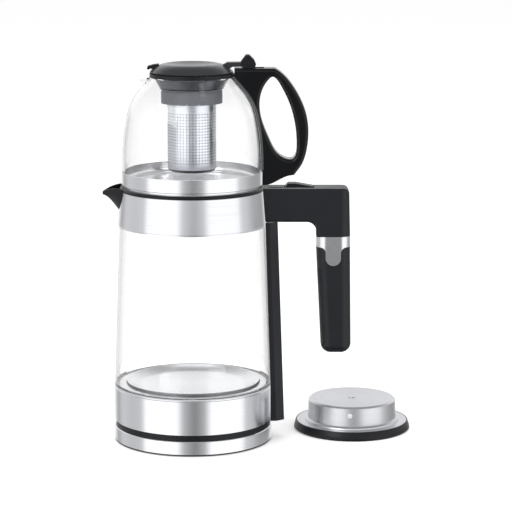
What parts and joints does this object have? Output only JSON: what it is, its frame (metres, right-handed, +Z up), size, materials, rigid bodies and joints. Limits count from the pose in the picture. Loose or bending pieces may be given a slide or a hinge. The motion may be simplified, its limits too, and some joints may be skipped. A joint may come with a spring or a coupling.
{
  "type": "automatic tea maker",
  "caption": "Glass electric kettle on a round power base, with a glass teapot and steel infuser standing on its mouth and its own lid lying loose beside it.",
  "frame": {"origin": "centre of the anti-slip ring's underside, on the table, on the axis of the base, kettle and teapot", "axes": "+Z up; +X towards the handles, -X towards the spouts; +Y to the back, where the cord inlet is"},
  "size_m": [0.2906, 0.1648, 0.363],
  "materials": {
    "anti_slip": "fine matt",
    "housing_black": "fine satin moulding",
    "handle_black": "satin, softly rounded",
    "pot_handle_black": "semi-gloss",
    "lid_grey": "fine satin moulding",
    "infuser_grey": "satin moulding",
    "band_steel": "satin, brushed round the band",
    "plate_steel": "satin, stamped",
    "grip_steel": "satin, bent",
    "basket_steel": "satin, perforated",
    "lid_steel": "fine satin, drawn",
    "pin_steel": "ground",
    "spreader_metal": "matt",
    "contact_metal": "plain",
    "silicone": "translucent grey, matt",
    "lead_sheath": "matt sheath",
    "clear_glass": "clear, fire-polished edges",
    "nub_white": "polished",
    "thermostat_body": "phenolic"
  },
  "bodies": {
    "power_base": {"foot_ring": "anti_slip", "base_cover": "housing_black", "base_screws": "pin_steel", "base_band": "band_steel", "base_top": "housing_black", "cord_inlet": "housing_black", "connector_pillar": "housing_black", "base_contacts": "contact_metal"},
    "kettle_socket": {"connector_socket": "housing_black", "socket_contacts": "contact_metal"},
    "kettle": {"bottom_cover": "housing_black", "kettle_band": "band_steel", "heating_plate": "plate_steel", "heat_spreader": "spreader_metal", "heating_element": "pin_steel", "thermostat": "thermostat_body", "base_gasket": "silicone", "kettle_glass": "clear_glass", "collar_gasket": "silicone", "kettle_collar": "band_steel", "rim_ring": "housing_black", "spout": "housing_black", "handle_arm": "handle_black", "grip_band": "grip_steel", "grip": "handle_black", "rocker_pin": "pin_steel", "switch_module": "housing_black", "wire_channel": "handle_black", "switch_leads": "lead_sheath"},
    "power_switch": {"switch_rocker": "housing_black"},
    "teapot": {"teapot_glass": "clear_glass", "teapot_ring": "band_steel", "neck_band": "housing_black", "teapot_handle": "pot_handle_black", "hinge_pin": "pin_steel", "infuser_collar": "infuser_grey"},
    "pot_lid": {"teapot_lid": "lid_grey", "thumb_lever": "housing_black", "lid_tab": "housing_black", "lid_seal": "silicone"},
    "basket": {"infuser_basket": "basket_steel"},
    "kettle_lid": {"lid_rim": "housing_black", "lid_pan": "lid_steel", "nub_carrier": "housing_black", "lid_rivet": "pin_steel"},
    "front_detent": {"front_nub": "nub_white"},
    "rear_detent": {"rear_nub": "nub_white"}
  },
  "joints": [
    {"name": "kettle_lift", "type": "slide", "parent": "power_base", "child": "kettle_socket", "axis": [0, 0, 1], "range_m": [0, 0.06]},
    {"name": "kettle_swivel", "type": "hinge", "parent": "kettle_socket", "child": "kettle", "pos_m": [0, 0, 0.025], "axis": [0, 0, 1], "continuous": true},
    {"name": "switch_rock", "type": "hinge", "parent": "kettle", "child": "power_switch", "pos_m": [0.103, 0, 0.2356], "axis": [0, -1, 0], "range_deg": [0, 8]},
    {"name": "teapot_lift", "type": "slide", "parent": "kettle", "child": "teapot", "axis": [0, 0, 1], "range_m": [0, 0.05]},
    {"name": "pot_lid_flip", "type": "hinge", "parent": "teapot", "child": "pot_lid", "pos_m": [0.0514, 0, 0.3486], "axis": [0, 1, 0], "range_deg": [0, 75]},
    {"name": "basket_twist", "type": "hinge", "parent": "teapot", "child": "basket", "pos_m": [0, 0, 0.3], "axis": [0, 0, 1], "range_deg": [-25, 0]},
    {"name": "kettle_lid_lift", "type": "slide", "parent": "power_base", "child": "kettle_lid", "axis": [0, 0, 1], "range_m": [0, 0.04]},
    {"name": "front_press", "type": "slide", "parent": "kettle_lid", "child": "front_detent", "axis": [0.0906, 0.9959, 0], "range_m": [0, 0.0016], "stiffness_N_per_m": 400},
    {"name": "rear_press", "type": "slide", "parent": "kettle_lid", "child": "rear_detent", "axis": [-0.0906, -0.9959, 0], "range_m": [0, 0.0016], "stiffness_N_per_m": 400}
  ]
}
